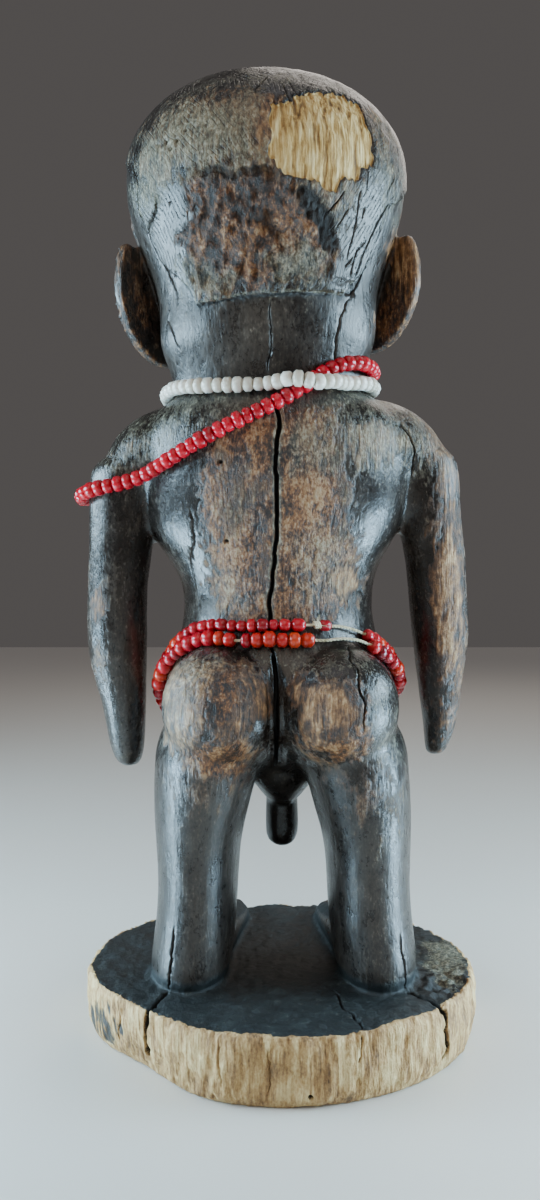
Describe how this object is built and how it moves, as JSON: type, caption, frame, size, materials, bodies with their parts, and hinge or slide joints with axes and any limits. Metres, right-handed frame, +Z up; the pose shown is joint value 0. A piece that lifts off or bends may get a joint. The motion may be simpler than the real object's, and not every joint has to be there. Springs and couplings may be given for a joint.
{
  "type": "carved wooden statuette",
  "caption": "Standing carved wooden figure with a large head and straight arms on an oval foot cut from the same log, with a white and a red neck string and a double string of hip beads.",
  "frame": {"origin": "middle of the flat underside of the foot plate", "axes": "+Z up along the figure's height; the face looks towards -Y and the back towards +Y; the figure's left arm is at +X"},
  "size_m": [0.167, 0.1487, 0.4],
  "materials": {
    "dark_patinated_wood": "hand-rubbed dark patina with a soft gloss, worn through to tan wood on the crown, seat, shoulder and foot",
    "white_glass_beads": "opaque, softly glossy",
    "red_glass_beads": "opaque, glossy",
    "mixed_red_glass_beads": "opaque to slightly clear, glossy, uneven crimson and orange red",
    "cotton_string": "twisted, matte, soiled off-white"
  },
  "bodies": {
    "root": {"carved_figure": "dark_patinated_wood", "white_bead_necklace": "white_glass_beads", "red_bead_sash": "red_glass_beads", "waist_beads_upper": "mixed_red_glass_beads", "waist_beads_lower": "mixed_red_glass_beads", "waist_string_upper": "cotton_string", "waist_string_lower": "cotton_string"}
  },
  "joints": []
}
